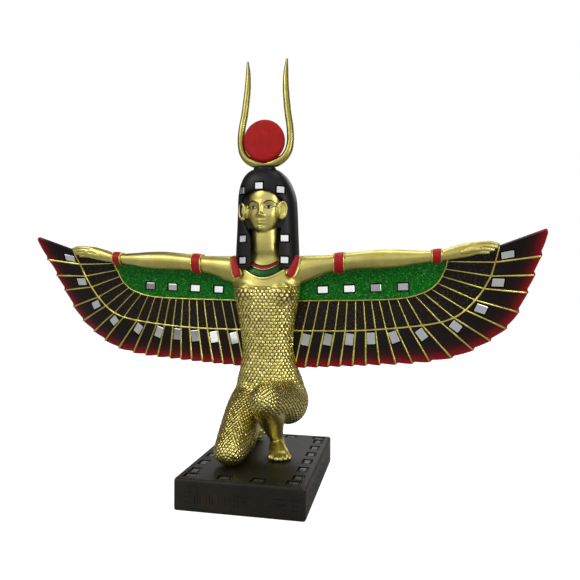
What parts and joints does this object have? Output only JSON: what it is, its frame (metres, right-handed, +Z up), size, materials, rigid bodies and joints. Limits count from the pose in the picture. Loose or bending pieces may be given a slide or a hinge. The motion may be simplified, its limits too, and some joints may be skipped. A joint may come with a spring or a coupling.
{
  "type": "winged goddess statue",
  "caption": "Cast figure of a kneeling goddess with spread ribbed wings and a horned crown, inlaid with small mirror tiles, on a low block plinth.",
  "frame": {"origin": "centre of the plinth's underside", "axes": "+Z up, she faces -Y, and her wings spread along X"},
  "size_m": [0.2904, 0.087, 0.2301],
  "materials": {
    "dark_bronze": "cast resin painted dark bronze, rubbed brown on its edges",
    "gold_paint": "cast resin in satin gold paint, with painted and antiqued areas",
    "mirror_tile": "small cut mirror tile"
  },
  "bodies": {
    "root": {"crown": "gold_paint", "figure": "gold_paint", "left_feather_tile_01": "mirror_tile", "left_feather_tile_02": "mirror_tile", "left_feather_tile_03": "mirror_tile", "left_feather_tile_04": "mirror_tile", "left_feather_tile_05": "mirror_tile", "left_feather_tile_06": "mirror_tile", "left_feather_tile_07": "mirror_tile", "left_feather_tile_08": "mirror_tile", "left_feather_tile_09": "mirror_tile", "left_feather_tile_10": "mirror_tile", "left_panel_tile_1": "mirror_tile", "left_panel_tile_2": "mirror_tile", "left_panel_tile_3": "mirror_tile", "left_panel_tile_4": "mirror_tile", "plinth": "dark_bronze", "plinth_tile_back_1": "mirror_tile", "plinth_tile_back_2": "mirror_tile", "plinth_tile_back_3": "mirror_tile", "plinth_tile_back_4": "mirror_tile", "plinth_tile_front_1": "mirror_tile", "plinth_tile_front_2": "mirror_tile", "plinth_tile_front_3": "mirror_tile", "plinth_tile_front_4": "mirror_tile", "plinth_tile_left_1": "mirror_tile", "plinth_tile_left_2": "mirror_tile", "plinth_tile_left_3": "mirror_tile", "plinth_tile_left_4": "mirror_tile", "plinth_tile_left_5": "mirror_tile", "plinth_tile_left_6": "mirror_tile", "plinth_tile_right_1": "mirror_tile", "plinth_tile_right_2": "mirror_tile", "plinth_tile_right_3": "mirror_tile", "plinth_tile_right_4": "mirror_tile", "plinth_tile_right_5": "mirror_tile", "plinth_tile_right_6": "mirror_tile", "right_feather_tile_01": "mirror_tile", "right_feather_tile_02": "mirror_tile", "right_feather_tile_03": "mirror_tile", "right_feather_tile_04": "mirror_tile", "right_feather_tile_05": "mirror_tile", "right_feather_tile_06": "mirror_tile", "right_feather_tile_07": "mirror_tile", "right_feather_tile_08": "mirror_tile", "right_feather_tile_09": "mirror_tile", "right_feather_tile_10": "mirror_tile", "right_panel_tile_1": "mirror_tile", "right_panel_tile_2": "mirror_tile", "right_panel_tile_3": "mirror_tile", "right_panel_tile_4": "mirror_tile", "wig_tile_forehead": "mirror_tile", "wig_tile_left_lock_lower": "mirror_tile", "wig_tile_left_lock_upper": "mirror_tile", "wig_tile_left_temple": "mirror_tile", "wig_tile_right_lock_lower": "mirror_tile", "wig_tile_right_lock_upper": "mirror_tile", "wig_tile_right_temple": "mirror_tile"}
  },
  "joints": []
}
